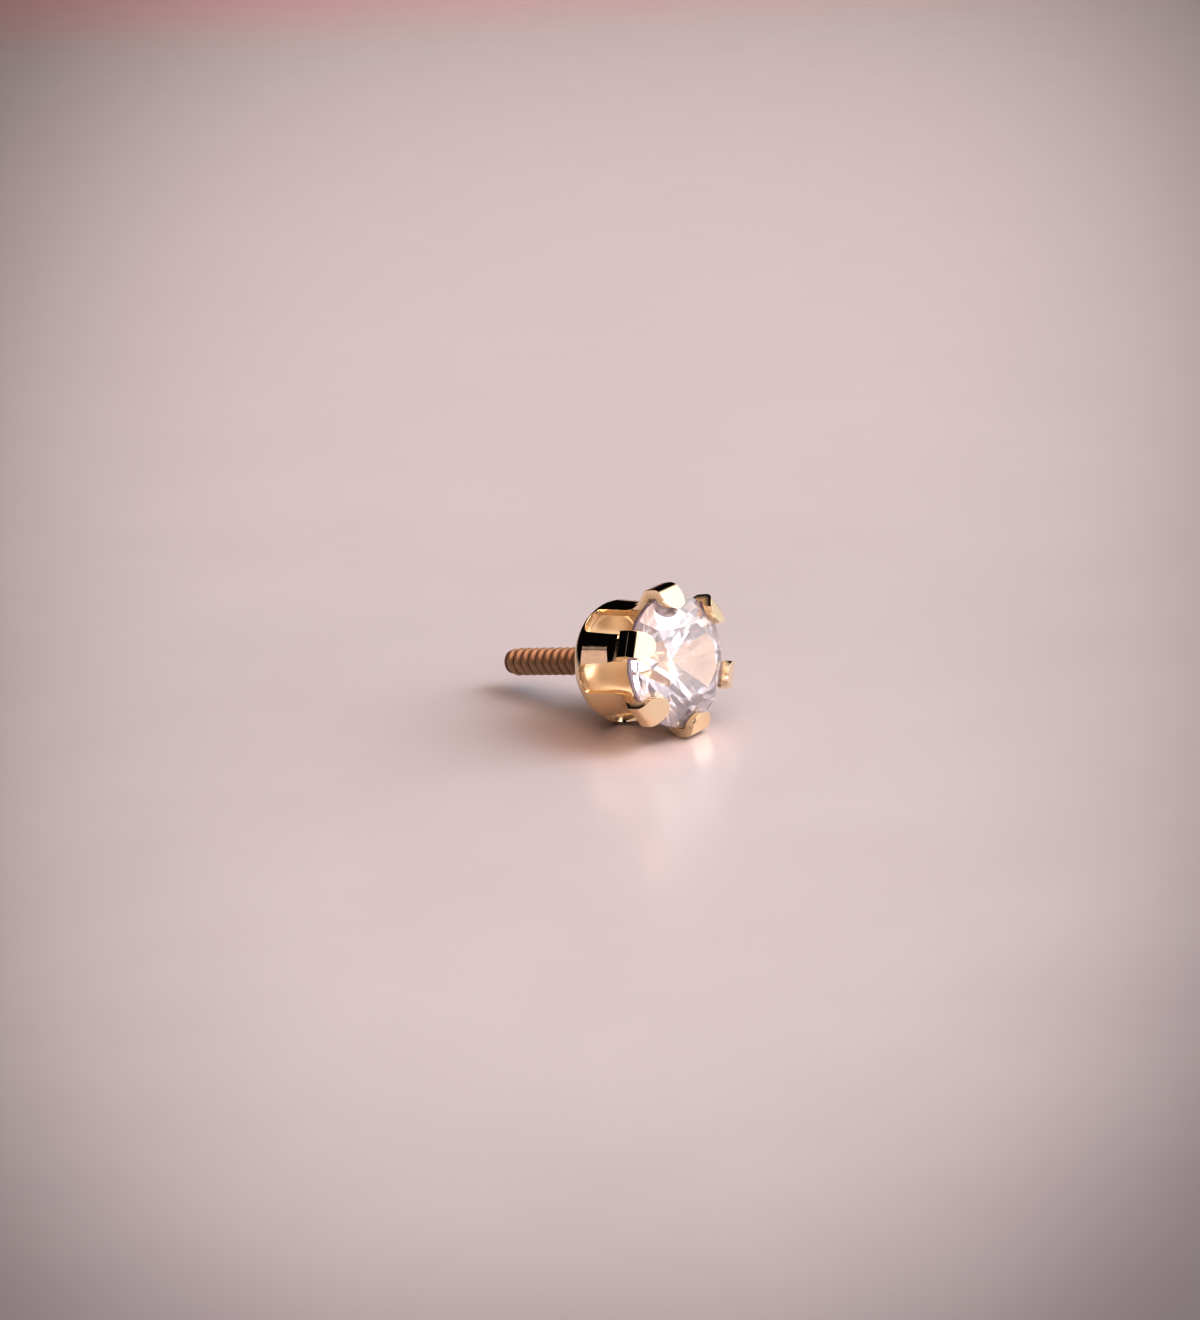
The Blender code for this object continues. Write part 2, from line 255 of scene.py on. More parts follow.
def strip_rows():
    """Distances of the rows: the outline's own points, the window's corner and the round tip."""
    rows = set(outer_distances)
    for degrees in (20.0, 40.0, 60.0, 75.0, 90.0):
        rows.add(window_distance + WINDOW_CORNER * (1.0 - math.cos(math.radians(degrees))))
    for degrees in (0.0, 15.0, 30.0, 45.0, 60.0, 75.0):
        rows.add(strip_length - TAB_HALF_WIDTH * (1.0 - math.sin(math.radians(degrees))))
    kept = []
    for distance in sorted(rows):
        if kept and distance - kept[-1] < ROW_SPACING and distance not in outer_distances:
            continue
        kept.append(distance)
    return kept


print(len(strip_rows()), "rows of points along a prong")

# %% [markdown]
# The bowl is round, but a prong's head is flat, because a narrow strip folds over a straight
# line.  So each row of points blends from an arc, low on the bowl, to a straight line at the
# head.  Below the windows a row is as wide as a sixth of the bowl, above them as the prong.

# %% Points of a row
STRIP_COLUMNS = 6
CURVED_BELOW = -1.9
FLAT_ABOVE = -1.2


def row_points(point, angles, flatness):
    """Points across a prong: on a circle where it is curved, on a line where it is flat."""
    result = []
    for angle in angles:
        curved = Vector((point.x * math.cos(angle), point.x * math.sin(angle), point.y))
        level = Vector((point.x, point.x * math.sin(angle), point.y))
        result.append(curved.lerp(level, flatness))
    return result


def row_angles(reach, in_bowl):
    """Angles of a row's points: the strip's own, and in the bowl the sixth's two sides."""
    angles = [reach * (2 * step / STRIP_COLUMNS - 1) for step in range(STRIP_COLUMNS + 1)]
    if in_bowl:
        between = (reach + SECTOR / 2) / 2
        angles = [-SECTOR / 2, -between] + angles + [between, SECTOR / 2]
    return angles


print(STRIP_COLUMNS + 1, "points across a prong,", len(row_angles(0.1, True)), "in the bowl")

# %% [markdown]
# The two skins of a prong are built together, row by row.  Each point stores whether it is on
# the inner skin, because the inside of the cup gets its own finish.

# %% Rows of a prong


def prong_rows(bm, inner_skin, turn):
    """Rows of points of one sixth of the cup, on its outer and on its inner skin."""
    rotation = Matrix.Rotation(turn, 3, "Z")
    root_angle = math.asin(half_width(window_distance) / outer_outline[WINDOW_ROW].x)
    outer_rows = []
    inner_rows = []
    for index, distance in enumerate(strip_rows()):
        outside = point_at(outer_outline, outer_distances, distance)
        inside = point_at(inner_outline, outer_distances, distance)
        reach = root_angle
        if index > WINDOW_ROW:
            reach = math.asin(half_width(distance) / outside.x)
        angles = row_angles(reach, index <= WINDOW_ROW)
        flatness = (outside.y - CURVED_BELOW) / (FLAT_ABOVE - CURVED_BELOW)
        flatness = min(1.0, max(0.0, flatness))
        outer_points = row_points(outside, angles, flatness)
        inner_points = row_points(inside, angles, flatness)
        # where the strip is flat its cut edges stand square, so both skins are as wide
        for outer_point, inner_point in zip(outer_points, inner_points):
            inner_point.y += (outer_point.y - inner_point.y) * flatness
        outer_rows.append([bm.verts.new(rotation @ point) for point in outer_points])
        inner_rows.append([bm.verts.new(rotation @ point) for point in inner_points])
        for vertex in inner_rows[-1]:
            vertex[inner_skin] = 1.0
    return outer_rows, inner_rows


print("the bowl's sixth meets its prong in row", WINDOW_ROW)

# %% [markdown]
# Faces between the rows make the two skins, and a band of faces along the cut edge closes the
# sheet.  The cut edges carry a bevel weight: the Bevel modifier rounds just those, as tumbling
# does, and the Subdivision modifier then smooths the bends without thinning the sheet.

# %% Skins and cut edge
BOWL_POINTS = 2


def skin_rows(bm, lower, upper):
    """A band of faces between two rows of points."""
    for column in range(len(upper) - 1):
        bm.faces.new((lower[column], lower[column + 1], upper[column + 1], upper[column]))


def round_chain(bm, rounding, chain):
    """Mark a chain of edges for rounding."""
    for start, end in zip(chain, chain[1:]):
        edge = bm.edges.get((start, end))
        if edge:
            edge[rounding] = 1.0


def rim_of(rows, edge_row):
    """Points along the cut edge: the window's lip, up one side, round the tip and down."""
    rim = edge_row[:BOWL_POINTS] + [row[0] for row in rows] + rows[-1][1:-1]
    return rim + [row[-1] for row in reversed(rows)] + edge_row[-BOWL_POINTS:]


def add_prong(bm, rounding, inner_skin, turn):
    """One sixth of the cup: a sector of the bowl that narrows into a bent prong."""
    outer_rows, inner_rows = prong_rows(bm, inner_skin, turn)
    for index in range(WINDOW_ROW):
        skin_rows(bm, outer_rows[index], outer_rows[index + 1])
        skin_rows(bm, inner_rows[index], inner_rows[index + 1])
    outer_edge = outer_rows[WINDOW_ROW]
    inner_edge = inner_rows[WINDOW_ROW]
    outer_strip = [outer_edge[BOWL_POINTS:-BOWL_POINTS]] + outer_rows[WINDOW_ROW + 1:]
    inner_strip = [inner_edge[BOWL_POINTS:-BOWL_POINTS]] + inner_rows[WINDOW_ROW + 1:]
    for index in range(len(outer_strip) - 1):
        skin_rows(bm, outer_strip[index], outer_strip[index + 1])
        skin_rows(bm, inner_strip[index], inner_strip[index + 1])
    outer_rim = rim_of(outer_strip, outer_edge)
    inner_rim = rim_of(inner_strip, inner_edge)
    skin_rows(bm, outer_rim, inner_rim)
    round_chain(bm, rounding, outer_rim)
    round_chain(bm, rounding, inner_rim)


print(BOWL_POINTS, "points on each side of a prong lie in the bowl alone")

# %% [markdown]
# Six prongs stand round the axis.  Their shared points are merged, which welds the sixths into
# one bowl, and the hole in the middle of its floor is filled.

# %% Build the cup
WELD = 0.001
EDGE_ROUNDING = 0.047
ROUNDING_STEPS = 2
BEND_LEVELS = 2

cup_mesh = bmesh.new()
rounding_layer = cup_mesh.edges.layers.float.new("bevel_weight_edge")
inner_layer = cup_mesh.verts.layers.float.new("inner_skin")
for prong in range(PRONGS):
    add_prong(cup_mesh, rounding_layer, inner_layer, prong * SECTOR)
bmesh.ops.remove_doubles(cup_mesh, verts=cup_mesh.verts, dist=WELD)
bmesh.ops.holes_fill(cup_mesh, edges=cup_mesh.edges, sides=0)
cup = finish_piece("stamped_cup", cup_mesh, "setting")
tumbled = cup.modifiers.new("tumbled_edges", "BEVEL")
tumbled.limit_method = "WEIGHT"
tumbled.offset_type = "OFFSET"
tumbled.width = EDGE_ROUNDING * MM
tumbled.segments = ROUNDING_STEPS
tumbled.use_clamp_overlap = True
smoothing = cup.modifiers.new("smooth_bends", "SUBSURF")
smoothing.levels = BEND_LEVELS
smoothing.render_levels = BEND_LEVELS

# %% [markdown]
# ## The threaded post
# The post is a gold pin, 1.06 mm thick, with a rolled thread that a screw nut grips.  A thread
# could be a helix joined to a pin.  Here one tube does it: the tube's radius rises and falls
# along its length, and that wave is shifted a little at each step around, so that it climbs.
# The thread is drawn a little shallower than the solid's 0.11 mm, because rolled crests are
# rounded.

# %% Profile of the post
POST_RADIUS = 0.53
THREAD_DEPTH = 0.09
THREAD_PITCH = 0.39
POST_CHAMFER = 0.12
PLAIN_NECK = 0.12
FILLET = 0.14
RUN_OUT = 0.30
CREST_ROUNDNESS = 0.75


def thread_rise(height, turns):
    """Share of the thread's depth, from 0 at its root to 1 at its crest."""
    phase = ((height / THREAD_PITCH) - turns) % 1.0
    wave = 0.5 - 0.5 * math.cos(math.tau * phase)
    return wave ** CREST_ROUNDNESS


def post_radius(below, turns):
    """Radius of the post at a depth below the cup's back, and the thread's share there."""
    root = POST_RADIUS - THREAD_DEPTH
    if below < FILLET:
        return root + FILLET - math.sqrt(FILLET**2 - (FILLET - below) ** 2), 0.0
    fade_in = min(1.0, max(0.0, (below - PLAIN_NECK) / RUN_OUT))
    to_end = POST_LENGTH - below
    fade_out = min(1.0, max(0.0, (to_end - POST_CHAMFER) / RUN_OUT))
    rise = thread_rise(-below, turns) * min(fade_in, fade_out)
    radius = root + THREAD_DEPTH * rise
    if to_end < POST_CHAMFER:
        radius = root - (POST_CHAMFER - to_end)
    return radius, rise


print("the thread has", round(POST_LENGTH / THREAD_PITCH, 1), "turns")

# %% [markdown]
# Rings of points along the axis carry the profile.  Each point stores how high on the thread it
# lies, and the finish reads that later.  Only the rim of the flat end is a sharp edge.

# %% Build the post
POST_AROUND = 72
POST_STEP = 0.02
POST_SHARP_ANGLE = 40.0

post_mesh = bmesh.new()
rise_layer = post_mesh.verts.layers.float.new("thread_rise")
steps = round(POST_LENGTH / POST_STEP)
rings = []
for step in range(steps + 1):
    below = POST_LENGTH * step / steps
    ring = []
    for column in range(POST_AROUND):
        turns = column / POST_AROUND
        radius, rise = post_radius(below, turns)
        vertex = post_mesh.verts.new(around(radius, 360.0 * turns, BACK_HEIGHT - below))
        vertex[rise_layer] = rise
        ring.append(vertex)
    rings.append(ring)
for upper, lower in zip(rings, rings[1:]):
    skin_rows(post_mesh, upper + upper[:1], lower + lower[:1])
post_mesh.faces.new(rings[0])
post_mesh.faces.new(rings[-1])
post = finish_piece("threaded_post", post_mesh, "setting")
post.data.set_sharp_from_angle(angle=math.radians(POST_SHARP_ANGLE))

# %% [markdown]
# ## The stone
# A cutter grinds a brilliant from a round blank, one flat facet after another, and each facet
# runs through points where others meet.  The script does the same: it cuts the blank along a
# plane, throws the outside away and closes the cut with one flat face.  That keeps every facet
# truly flat, which matters, since the eye reads a stone by its sharp reflections.

# %% Grinding
STONE_RADIUS = 2.5
GIRDLE_TOP = -0.70
GIRDLE_THICKNESS = 0.27
TABLE_RATIO = 0.56
CROWN_ANGLE = 33.5
STAR_ANGLE = 21.0
PAVILION_ANGLE = 41.0
LOWER_HALF_RATIO = 0.77
CULET_RADIUS = 0.04
MAIN_FACETS = 8
STONE_TURN = 15.0
MEET_TOLERANCE = 0.004
HALF_STEP = 180.0 / MAIN_FACETS
HALF_STEP_FLAT = math.cos(math.radians(HALF_STEP))
MAIN_TURNS = [STONE_TURN + 2 * HALF_STEP * index for index in range(MAIN_FACETS)]


def grind_facet(bm, point, normal):
    """Grind away all that lies outside a plane and polish the cut as one face."""
    cut = bmesh.ops.bisect_plane(
        bm,
        geom=bm.verts[:] + bm.edges[:] + bm.faces[:],
        dist=MEET_TOLERANCE / 4,
        plane_co=point,
        plane_no=normal,
        clear_outer=True,
    )
    edges = [item for item in cut["geom_cut"] if isinstance(item, bmesh.types.BMEdge)]
    rim = [edge for edge in edges if edge.is_boundary]
    if len(rim) > 2:
        bmesh.ops.edgeloop_fill(bm, edges=rim)


def grind_through(bm, first, second, third):
    """Grind the facet through three meet points, facing away from the stone's middle."""
    normal = (second - first).cross(third - first).normalized()
    middle = Vector((0.0, 0.0, GIRDLE_TOP - GIRDLE_THICKNESS))
    if normal.dot(first - middle) < 0.0:
        normal.negate()
    grind_facet(bm, first, normal)


print("main facets face", [round(turn) for turn in MAIN_TURNS], "degrees")

# %% [markdown]
# The crown is the part above the girdle.  Eight main facets come first, then two upper facets
# at each main one's foot and a star facet between their heads, and last the table.  The height
# where an upper and a star facet meet follows from both slopes.

# %% Crown


def grind_crown(bm):
    """Grind the facets above the girdle."""
    slope = math.tan(math.radians(CROWN_ANGLE))
    table_radius = STONE_RADIUS * TABLE_RATIO
    table_height = GIRDLE_TOP + (STONE_RADIUS - table_radius) * slope
    star_slope = math.tan(math.radians(STAR_ANGLE))
    star_rise = table_radius * HALF_STEP_FLAT * star_slope
    rise = STONE_RADIUS * slope + GIRDLE_TOP - table_height - star_rise
    meet_radius = rise / (HALF_STEP_FLAT * slope - star_slope)
    meet_height = GIRDLE_TOP + (STONE_RADIUS - meet_radius * HALF_STEP_FLAT) * slope
    tilt = math.radians(CROWN_ANGLE)
    for main in MAIN_TURNS:
        normal = around(math.sin(tilt), main, math.cos(tilt))
        grind_facet(bm, around(STONE_RADIUS, main, GIRDLE_TOP), normal)
    for main in MAIN_TURNS:
        tip = around(STONE_RADIUS, main, GIRDLE_TOP)
        for side in (HALF_STEP, -HALF_STEP):
            meet = around(meet_radius, main + side, meet_height)
            grind_through(bm, tip, around(STONE_RADIUS, main + side, GIRDLE_TOP), meet)
        near = around(table_radius, main, table_height)
        far = around(table_radius, main + 2 * HALF_STEP, table_height)
        grind_through(bm, near, far, around(meet_radius, main + HALF_STEP, meet_height))
    grind_facet(bm, Vector((0.0, 0.0, table_height)), Vector((0.0, 0.0, 1.0)))


print("the table is", round(2 * STONE_RADIUS * TABLE_RATIO, 1), "mm across")

# %% [markdown]
# The pavilion is the part below the girdle, which throws the light back.  It has eight main
# facets and sixteen lower ones, and its point is ground to a tiny flat, the culet.

# %% Pavilion


def grind_pavilion(bm):
    """Grind the facets below the girdle."""
    slope = math.tan(math.radians(PAVILION_ANGLE))
    girdle_bottom = GIRDLE_TOP - GIRDLE_THICKNESS
    meet_radius = STONE_RADIUS * (1.0 - LOWER_HALF_RATIO)
    meet_height = girdle_bottom - (STONE_RADIUS - meet_radius * HALF_STEP_FLAT) * slope
    tilt = math.radians(PAVILION_ANGLE)
    for main in MAIN_TURNS:
        normal = around(math.sin(tilt), main, -math.cos(tilt))
        grind_facet(bm, around(STONE_RADIUS, main, girdle_bottom), normal)
    for main in MAIN_TURNS:
        tip = around(STONE_RADIUS, main, girdle_bottom)
        for side in (HALF_STEP, -HALF_STEP):
            meet = around(meet_radius, main + side, meet_height)
            grind_through(bm, tip, around(STONE_RADIUS, main + side, girdle_bottom), meet)
    culet_height = girdle_bottom - (STONE_RADIUS - CULET_RADIUS) * slope
    grind_facet(bm, Vector((0.0, 0.0, culet_height)), Vector((0.0, 0.0, -1.0)))


print("the lower facets reach", LOWER_HALF_RATIO, "of the way to the point")

# %% [markdown]
# The blank is a plain cylinder, higher than the stone.  After the grinding, steep faces belong
# to the girdle and all others are facets, so one test sorts the two finishes.  Only the round
# girdle is shaded smooth.

# %% Cut the stone
GIRDLE_SEGMENTS = 96
GIRDLE_STEEPNESS = 0.2
POLISHED = 0
FROSTED = 1

stone_mesh = bmesh.new()
bmesh.ops.create_cone(
    stone_mesh,
    cap_ends=True,
    segments=GIRDLE_SEGMENTS,
    radius1=STONE_RADIUS,
    radius2=STONE_RADIUS,
    depth=4 * STONE_RADIUS,
    matrix=Matrix.Translation((0.0, 0.0, GIRDLE_TOP)),
)
grind_crown(stone_mesh)
grind_pavilion(stone_mesh)
bmesh.ops.remove_doubles(stone_mesh, verts=stone_mesh.verts, dist=MEET_TOLERANCE)
bmesh.ops.dissolve_degenerate(stone_mesh, edges=stone_mesh.edges, dist=MEET_TOLERANCE / 4)
for face in stone_mesh.faces:
    face.normal_update()
    face.material_index = FROSTED if abs(face.normal.z) < GIRDLE_STEEPNESS else POLISHED
stone = finish_piece("cut_stone", stone_mesh, "stone")
for polygon in stone.data.polygons:
    polygon.use_smooth = polygon.material_index == FROSTED

# %% [markdown]
# ## Colour and nodes
# Colours are picked as the hex values that a paint program shows.  Light adds up in linear
# values, so one function turns hex into linear.  A second small function adds any node with its
# settings and links.  A third turns a real size in millimetres into a texture's scale.

# %% Helpers for finishes


def hex_colour(text):
    """Linear colour from an sRGB hex value."""
    channels = [int(text[place:place + 2], 16) / 255 for place in (1, 3, 5)]
    linear = [c / 12.92 if c <= 0.04045 else ((c + 0.055) / 1.055) ** 2.4 for c in channels]
    return (*linear, 1.0)


def add_node(tree, kind, settings=None, links=None):
    """Add a node, set its properties and sockets, and link sockets to it."""
    node = tree.nodes.new(kind)
    for name, value in (settings or {}).items():
        if isinstance(name, int) or name in node.inputs:
            node.inputs[name].default_value = value
        else:
            setattr(node, name, value)
    for name, source in (links or {}).items():
        tree.links.new(source, node.inputs[name])
    return node


def every_mm(size):
    """Scale of a texture whose marks are this many millimetres apart."""
    return 1.0 / (size * MM)


def new_finish(name):
    """A new material, its node tree and its one shader."""
    material = bpy.data.materials.new(name)
    material.use_nodes = True
    tree = material.node_tree
    return material, tree, tree.nodes["Principled BSDF"]


print("middle grey, linear:", round(hex_colour("#808080")[0], 3))

# %% [markdown]
# ## Polished rose gold
# The sheet is 14 carat gold: silver in the alloy makes it pale and copper makes it slightly
# rosy.  It was stamped, then tumbled with small polishing stones to a mirror.  Such a mirror has
# almost no look of its own: the eye sees the room in it, tinted.  Two marks of its making stay.
# A soft ripple from the press bends the room's lines, and fine polishing lines soften them.  The
# real lines are a few thousandths of a millimetre apart, and are drawn at 0.06 mm so that they
# show.  The colour is paler than the alloy's usual one, as it is in the photograph.
#
# The polishing stones hardly reach the inside of the cup, so it stays satin.  It scatters light
# as a dull film does, and its shader is only a third metal.  The stored inner skin mixes both
# surfaces in one material.

# %% Gold of the cup
GOLD_COLOUR = "#FAE9CB"
MIRROR_ROUGHNESS = (0.03, 0.09)
HAZE_SIZE = 0.7
SATIN_COLOUR = "#FFE8C2"
SATIN_ROUGHNESS = 0.17
SATIN_METALLIC = 0.34
# most values of a noise texture lie in this range
NOISE_LOW = 0.35
NOISE_HIGH = 0.65
# size of the marks, detail, depth
PRESS_RIPPLE = (0.8, 1.0, 0.006)
POLISH_LINES = (0.06, 2.0, 0.0004)


def ripple(tree, place, size, detail, depth, below=None):
    """Bump with marks of a given size and depth, in millimetres, on top of another bump."""
    noise = add_node(
        tree, "ShaderNodeTexNoise", {"Scale": every_mm(size), "Detail": detail}, {"Vector": place}
    )
    links = {"Height": noise.outputs["Fac"]}
    if below:
        links["Normal"] = below
    return add_node(tree, "ShaderNodeBump", {"Strength": 1.0, "Distance": depth * MM}, links)


def sheet_gold():
    """Mirror gold outside, satin gold inside."""
    material, tree, shader = new_finish("tumbled_rose_gold")
    place = add_node(tree, "ShaderNodeTexCoord").outputs["Object"]
    inside = add_node(tree, "ShaderNodeAttribute", {"attribute_name": "inner_skin"}).outputs["Fac"]
    colour = add_node(
        tree,
        "ShaderNodeMix",
        {"data_type": "RGBA", 6: hex_colour(GOLD_COLOUR), 7: hex_colour(SATIN_COLOUR)},
        {0: inside},
    )
    haze = add_node(
        tree, "ShaderNodeTexNoise", {"Scale": every_mm(HAZE_SIZE), "Detail": 4.0}, {"Vector": place}
    )
    clearest, dullest = MIRROR_ROUGHNESS
    mirror = add_node(
        tree,
        "ShaderNodeMapRange",
        {"From Min": NOISE_LOW, "From Max": NOISE_HIGH, "To Min": clearest, "To Max": dullest},
        {"Value": haze.outputs["Fac"]},
    )
    rough = add_node(
        tree,
        "ShaderNodeMix",
        {"data_type": "FLOAT", 3: SATIN_ROUGHNESS},
        {0: inside, 2: mirror.outputs["Result"]},
    )
    bare = add_node(
        tree, "ShaderNodeMapRange", {"To Min": 1.0, "To Max": SATIN_METALLIC}, {"Value": inside}
    )
    press = ripple(tree, place, *PRESS_RIPPLE)
    polish = ripple(tree, place, *POLISH_LINES, press.outputs["Normal"])
    tree.links.new(colour.outputs[2], shader.inputs["Base Color"])
    tree.links.new(rough.outputs[0], shader.inputs["Roughness"])
    tree.links.new(bare.outputs["Result"], shader.inputs["Metallic"])
    tree.links.new(polish.outputs["Normal"], shader.inputs["Normal"])
    return material


cup.data.materials.append(sheet_gold())
print("gold, linear:", [round(part, 2) for part in hex_colour(GOLD_COLOUR)[:3]])

# %% [markdown]
# The post is the same gold, but its thread was rolled between dies and never sees the polishing
# wheel.  Its colour is darker in the thread's roots and lighter on its crests, with noise blotches.
# The stored thread height drives both colour and roughness.  The surface scatters light as paint
# does, so the shader is a little less than half metal.

# %% Gold of the thread
ROOT_COLOUR = "#5E493B"
CREST_COLOUR = "#C2A58B"
ROOT_ROUGHNESS = 0.58
CREST_ROUGHNESS = 0.44
THREAD_METALLIC = 0.45
BLOTCH_SIZE = 0.25
ROLLING_MARKS = (0.09, 2.0, 0.001)


def thread_gold():
    """Darker in the thread's roots, lighter and less rough on its crests."""
    material, tree, shader = new_finish("rolled_rose_gold")
    shader.inputs["Metallic"].default_value = THREAD_METALLIC
    place = add_node(tree, "ShaderNodeTexCoord").outputs["Object"]
    rise = add_node(tree, "ShaderNodeAttribute", {"attribute_name": "thread_rise"}).outputs["Fac"]
    blotches = add_node(
        tree, "ShaderNodeTexNoise", {"Scale": every_mm(BLOTCH_SIZE), "Detail": 3.0}, {"Vector": place}
    )
    # share toward the crest colour: thread height plus noise blotches
    crest_share = add_node(
        tree,
        "ShaderNodeMath",
        {"operation": "ADD", "use_clamp": True},
        {0: rise, 1: blotches.outputs["Fac"]},
    ).outputs["Value"]
    colour = add_node(
        tree,
        "ShaderNodeMix",
        {"data_type": "RGBA", 6: hex_colour(ROOT_COLOUR), 7: hex_colour(CREST_COLOUR)},
        {0: crest_share},
    )
    rough = add_node(
        tree,
        "ShaderNodeMapRange",
        {"To Min": ROOT_ROUGHNESS, "To Max": CREST_ROUGHNESS},
        {"Value": crest_share},
    )
    scratches = ripple(tree, place, *ROLLING_MARKS)
    tree.links.new(colour.outputs[2], shader.inputs["Base Color"])
    tree.links.new(rough.outputs["Result"], shader.inputs["Roughness"])
    tree.links.new(scratches.outputs["Normal"], shader.inputs["Normal"])
    return material


post.data.materials.append(thread_gold())
print("thread, linear:", [round(part, 2) for part in hex_colour(CREST_COLOUR)[:3]])

# %% [markdown]
# ## Clear stone
# The stone is most likely cubic zirconia.  It bends light much more than glass does, with an
# index of 2.16, so light that enters the top is thrown back out of it.  Its facets are polished
# with fine powder to a mirror.  A thin film from handling scatters a seventh of the light, and
# that gives the soft, milky white of the photograph.  The edge, the girdle, is only ground, so
# it stays frosted and looks lavender grey.  Both share one small function, which sets how clear
# the stone is and how its roughness changes from place to place.

# %% Stone finishes
STONE_INDEX = 2.16
STONE_COLOUR = "#FCF8FF"
STONE_CLEAR = 0.85
GIRDLE_COLOUR = "#B9AEC4"
GIRDLE_CLEAR = 0.6
# size of the marks, detail
HANDLING_FILM = (0.9, 3.0)
GRINDING_GRIT = (0.08, 2.0)
# what the noise reads, and the roughness that this gives
POLISHED_MARKS = {"From Min": NOISE_LOW, "From Max": NOISE_HIGH, "To Min": 0.01, "To Max": 0.03}
GROUND_MARKS = {"To Min": 0.12, "To Max": 0.3}


def stone_finish(name, colour, clear, grain, marks):
    """Clear stone whose roughness follows marks of a given grain."""
    material, tree, shader = new_finish(name)
    shader.inputs["Base Color"].default_value = hex_colour(colour)
    shader.inputs["Transmission Weight"].default_value = clear
    shader.inputs["IOR"].default_value = STONE_INDEX
    place = add_node(tree, "ShaderNodeTexCoord").outputs["Object"]
    size, detail = grain
    blotches = add_node(
        tree, "ShaderNodeTexNoise", {"Scale": every_mm(size), "Detail": detail}, {"Vector": place}
    )
    rough = add_node(tree, "ShaderNodeMapRange", marks, {"Value": blotches.outputs["Fac"]})
    tree.links.new(rough.outputs["Result"], shader.inputs["Roughness"])
    return material


polished = stone_finish(
    "polished_zirconia", STONE_COLOUR, STONE_CLEAR, HANDLING_FILM, POLISHED_MARKS
)
frosted = stone_finish("ground_zirconia", GIRDLE_COLOUR, GIRDLE_CLEAR, GRINDING_GRIT, GROUND_MARKS)
stone.data.materials.append(polished)
stone.data.materials.append(frosted)
frosted_faces = sum(polygon.material_index == FROSTED for polygon in stone.data.polygons)
print(len(stone.data.polygons) - frosted_faces, "polished facets")

# %% [markdown]
# ## The table
# The stud lies on a table top with a pale pink-beige lacquer, smooth enough to show a faint
# streak below the stone.  Light falls on it as a pool that is brightest round the stud and fades
# toward the picture's corners.  A lamp with a narrow beam could make the pool, but it would also
# show in the gold, so the pool is drawn in the table's own plane.  Its shape is a rounded
# rectangle that widens with distance, which the camera's view makes upright again.

# %% Pool of light
POOL_MIDDLE = (-5.9, 6.6)
POOL_AWAY = (-0.649, 0.760)
POOL_ACROSS = (0.760, 0.649)
POOL_HALF_WIDTH = 24.0
POOL_HALF_DEPTH = 76.0
POOL_WIDENS_OVER = 205.0
POOL_SQUARENESS = 2.6
POOL_FADES_OVER = 2.2
POOL_RIM = 0.44


def measure_along(tree, place, way, size):
    """How far a place lies from the pool's middle along a way, in shares of a size."""
    step = Vector((*way, 0.0)) / (size * MM)
    dot = add_node(
        tree, "ShaderNodeVectorMath", {"operation": "DOT_PRODUCT", 1: step}, {0: place}
    )
    return dot.outputs["Value"]


def pool_of_light(tree, place):
    """Brightness of the pool at a place, and how far away from the lens the place is."""
    middle = Vector((*POOL_MIDDLE, 0.0)) * MM
    shifted = add_node(
        tree, "ShaderNodeVectorMath", {"operation": "SUBTRACT", 1: middle}, {0: place}
    ).outputs["Vector"]
    away = measure_along(tree, shifted, POOL_AWAY, POOL_WIDENS_OVER)
    widening = add_node(tree, "ShaderNodeMath", {"operation": "ADD", 1: 1.0}, {0: away})
    shares = []
    for way, size in ((POOL_ACROSS, POOL_HALF_WIDTH), (POOL_AWAY, POOL_HALF_DEPTH)):
        plain = measure_along(tree, shifted, way, size)
        share = add_node(
            tree, "ShaderNodeMath", {"operation": "DIVIDE"}, {0: plain, 1: widening.outputs[0]}
        )
        shares.append(share.outputs["Value"])
    powers = []
    for share in shares:
        size = add_node(tree, "ShaderNodeMath", {"operation": "ABSOLUTE"}, {0: share})
        power = add_node(
            tree,
            "ShaderNodeMath",
            {"operation": "POWER", 1: POOL_SQUARENESS},
            {0: size.outputs["Value"]},
        )
        powers.append(power.outputs["Value"])
    ring = add_node(tree, "ShaderNodeMath", {"operation": "ADD"}, {0: powers[0], 1: powers[1]})
    fade = add_node(
        tree,
        "ShaderNodeMapRange",
        {
            "interpolation_type": "SMOOTHSTEP",
            "From Max": POOL_FADES_OVER,
            "To Min": 1.0,
            "To Max": POOL_RIM,
        },
        {"Value": ring.outputs["Value"]},
    )
    return fade.outputs["Result"], shares[1]


print("the pool is", 2 * POOL_HALF_WIDTH, "mm wide where the stud lies")

# %% [markdown]
# The lacquer itself is slightly cloudy.  Painted light makes the table paler with distance, and
# it meets a rose-coloured edge far behind the stud.

# %% Lacquer colours
LACQUER_DARK = "#C2C2CA"
LACQUER_LIGHT = "#C9CBD1"
FAR_LIT_COLOUR = "#D2D2D8"
ROSE_EDGE = "#E2C5C8"
# shares of the pool's depth
PALER_UNTIL = 0.8
EDGE_FROM = 0.85
EDGE_TO = 0.98
EDGE_STRENGTH = 0.9
CLOUD_SIZE = 9.0


